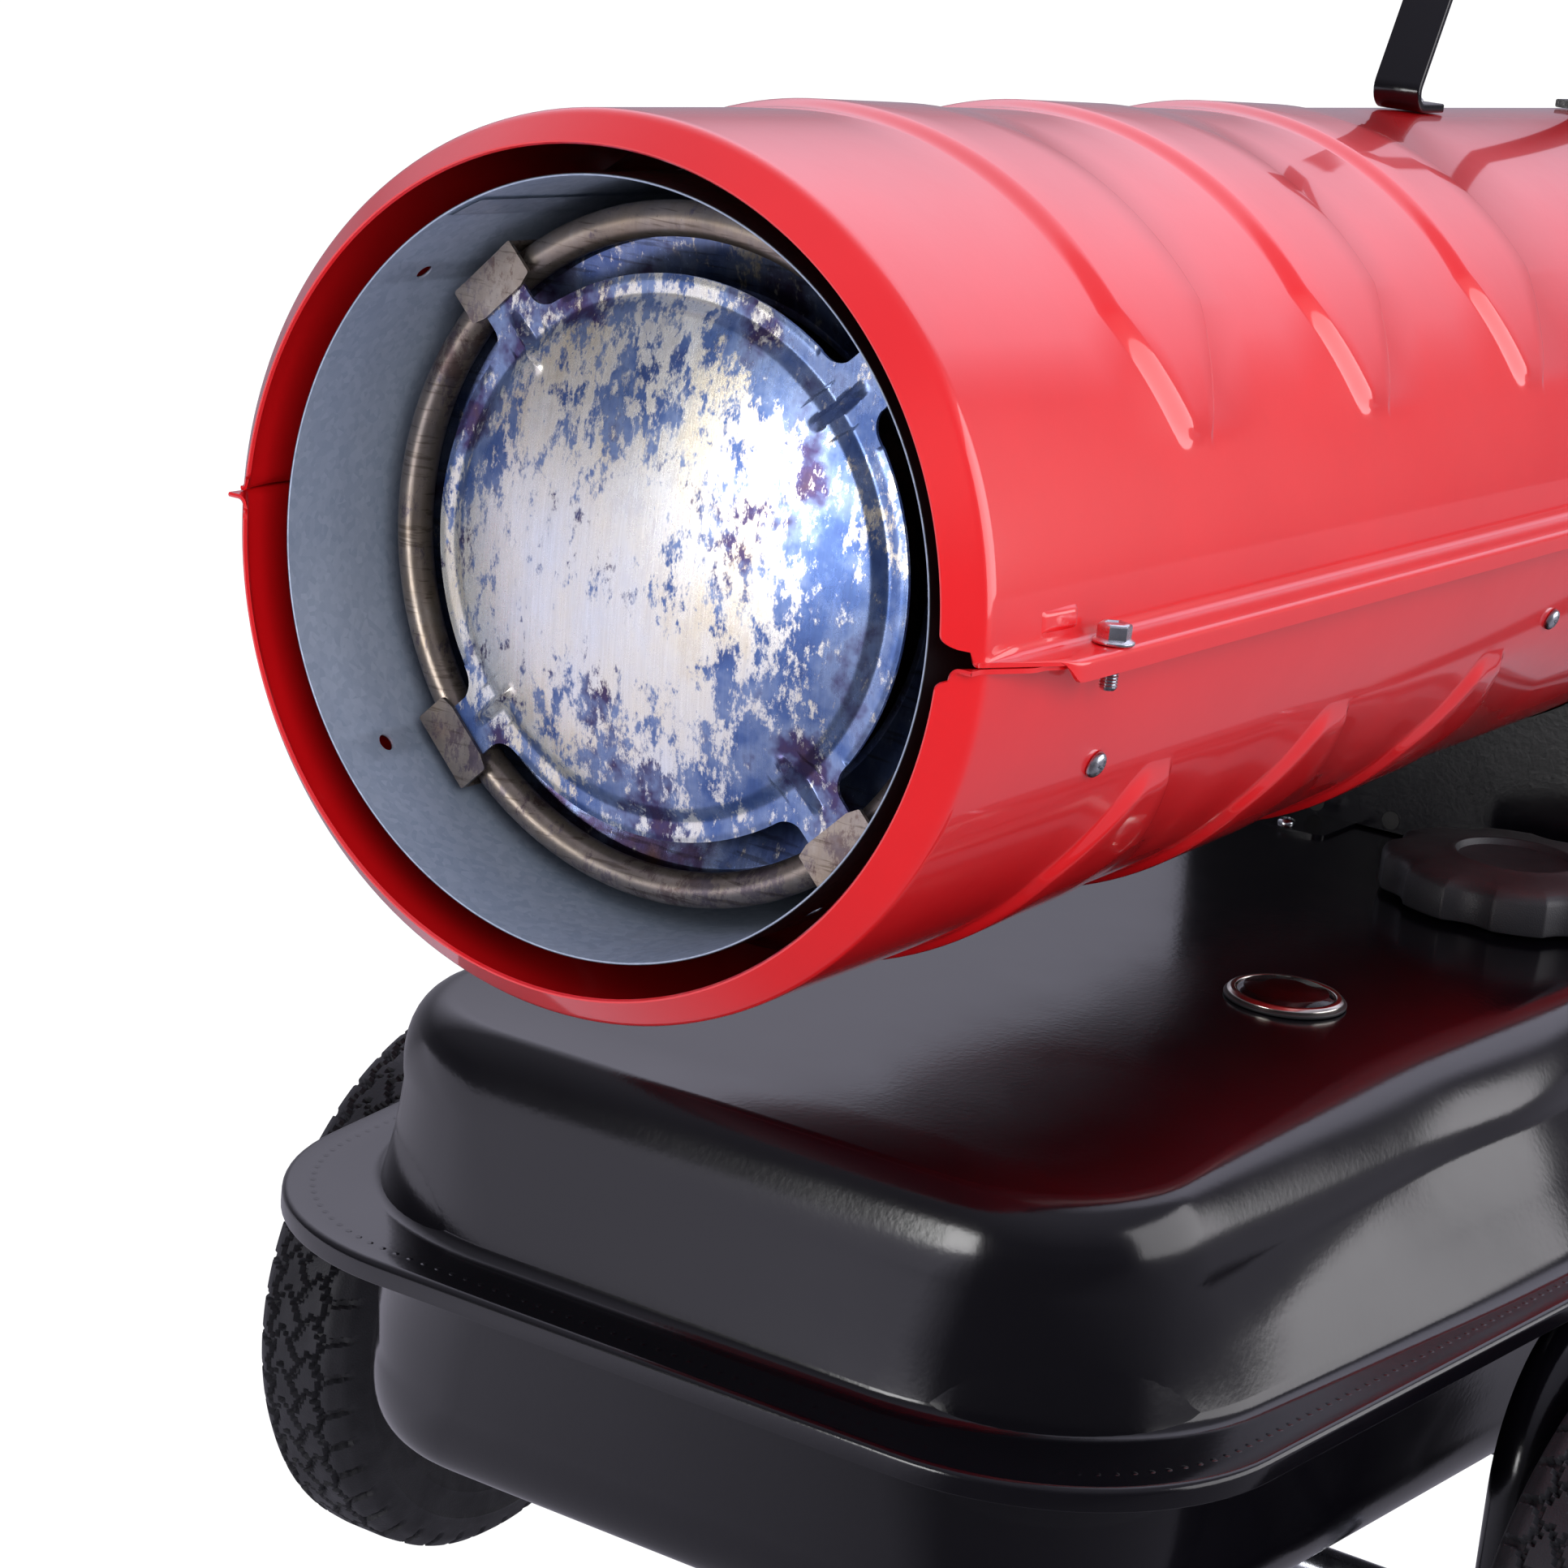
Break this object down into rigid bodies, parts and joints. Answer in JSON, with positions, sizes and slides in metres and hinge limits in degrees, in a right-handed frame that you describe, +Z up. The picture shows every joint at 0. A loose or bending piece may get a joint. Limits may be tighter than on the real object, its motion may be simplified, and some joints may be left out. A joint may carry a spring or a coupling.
{
  "type": "forced air heater",
  "caption": "Portable direct-fired forced air heater: red barrel with heat-tinted outlet baffle over a black pressed fuel tank on a two-wheeled tube frame.",
  "frame": {"origin": "bottom centre of the bounding box, on the floor", "axes": "+X from the hot-air outlet towards the fan end, +Z up, the fuel gauge and filler cap lie towards -Y"},
  "size_m": [0.985, 0.63, 0.776],
  "materials": {
    "red_paint": "glossy red powder coat on the barrel shells",
    "black_paint": "glossy black powder coat",
    "satin_black": "satin black on pressed rims and the rear guard",
    "zinc": "bright zinc plate on fasteners, axle and neck",
    "galvanised": "galvanised sheet, blue-grey mottled",
    "heat_steel": "stainless sheet with heat tint",
    "cast_metal": "cast aluminium, plain",
    "fan_aluminium": "pressed aluminium fan",
    "brass": "brass nozzle and fuel pipe",
    "rubber": "black rubber",
    "tyre": "black tyre rubber",
    "black_plastic": "fine-grained black moulding",
    "red_plastic": "glossy red rocker",
    "dark_window": "dark smoked window",
    "clear_glass": "clear domed lens",
    "maroon": "maroon pointer disc",
    "ceramic": "glazed ceramic insulators",
    "board_green": "green board with dark parts",
    "foam_black": "closed-cell float"
  },
  "bodies": {
    "heater": {"upper_shell": "red_paint", "lower_shell": "red_paint", "inner_liner": "galvanised", "liner_hoop_front": "galvanised", "liner_hoop_rear": "galvanised", "combustion_chamber": "heat_steel", "chamber_outlet_ring": "heat_steel", "baffle_disc": "heat_steel", "burner_head": "cast_metal", "fuel_nozzle": "brass", "igniter_electrodes": "ceramic", "motor": "cast_metal", "motor_bracket": "zinc", "pump_body": "cast_metal", "pump_cover": "cast_metal", "rear_grille": "satin_black", "carry_strap": "black_paint", "seam_bolt_near_front": "zinc", "seam_bolt_near_rear": "zinc", "seam_bolt_far_front": "zinc", "seam_bolt_far_rear": "zinc", "shell_screw_front": "zinc", "shell_screw_rear": "zinc", "support_box": "black_paint", "box_cover_near": "black_paint", "box_cover_far": "black_paint", "control_panel": "black_plastic", "display_window": "dark_window", "power_inlet": "black_plastic", "ignition_transformer": "black_plastic", "control_board": "board_green", "air_line": "rubber", "fuel_line": "brass", "tank_upper": "black_paint", "tank_lower": "black_paint", "filler_neck": "zinc", "gauge_housing": "black_plastic", "gauge_glass": "clear_glass", "drain_plug": "zinc", "frame_tube": "black_paint", "handle_grip": "rubber", "axle": "zinc", "hub_cap_near": "satin_black", "hub_cap_far": "satin_black", "rear_leg": "black_paint", "foot_pad_near": "rubber", "foot_pad_far": "rubber"},
    "rotor": {"fan": "fan_aluminium", "motor_shaft": "zinc", "pump_rotor": "black_plastic"},
    "wheel_near": {"tyre_near": "tyre", "wheel_rim_near": "satin_black"},
    "wheel_far": {"tyre_far": "tyre", "wheel_rim_far": "satin_black"},
    "knob": {"thermostat_knob": "black_plastic"},
    "rocker": {"power_switch": "red_plastic"},
    "cap_seal": {"cap_gasket": "rubber"},
    "cap": {"filler_cap": "black_plastic"},
    "pointer": {"gauge_pointer": "maroon"},
    "float": {"fuel_float": "foam_black"}
  },
  "joints": [
    {"name": "rotor_spin", "type": "hinge", "parent": "heater", "child": "rotor", "pos_m": [0.2235, 0, 0.543], "axis": [1, 0, 0], "continuous": true},
    {"name": "wheel_near_spin", "type": "hinge", "parent": "heater", "child": "wheel_near", "pos_m": [-0.1345, -0.277, 0.127], "axis": [0, 1, 0], "continuous": true},
    {"name": "wheel_far_spin", "type": "hinge", "parent": "heater", "child": "wheel_far", "pos_m": [-0.1345, 0.277, 0.127], "axis": [0, 1, 0], "continuous": true},
    {"name": "thermostat_turn", "type": "hinge", "parent": "heater", "child": "knob", "pos_m": [0.3435, -0.1071, 0.385], "axis": [0, 1, 0], "range_deg": [0, 270]},
    {"name": "rocker_press", "type": "hinge", "parent": "heater", "child": "rocker", "pos_m": [0.2755, -0.1033, 0.385], "axis": [1, 0, 0], "range_deg": [-16, 0]},
    {"name": "cap_lift", "type": "slide", "parent": "heater", "child": "cap_seal", "axis": [0, 0, 1], "range_m": [0, 0.03]},
    {"name": "cap_turn", "type": "hinge", "parent": "cap_seal", "child": "cap", "pos_m": [0.1115, -0.094, 0.341], "axis": [0, 0, 1], "range_deg": [0, 90]},
    {"name": "pointer_turn", "type": "hinge", "parent": "heater", "child": "pointer", "pos_m": [-0.1025, -0.086, 0.335], "axis": [0, 0, 1], "range_deg": [0, 115]},
    {"name": "float_rise", "type": "slide", "parent": "heater", "child": "float", "axis": [0, 0, 1], "range_m": [0, 0.1]}
  ],
  "couplings": [
    {"joint": "pointer_turn", "follows": "float_rise", "rad_per_m": 19.2}
  ]
}
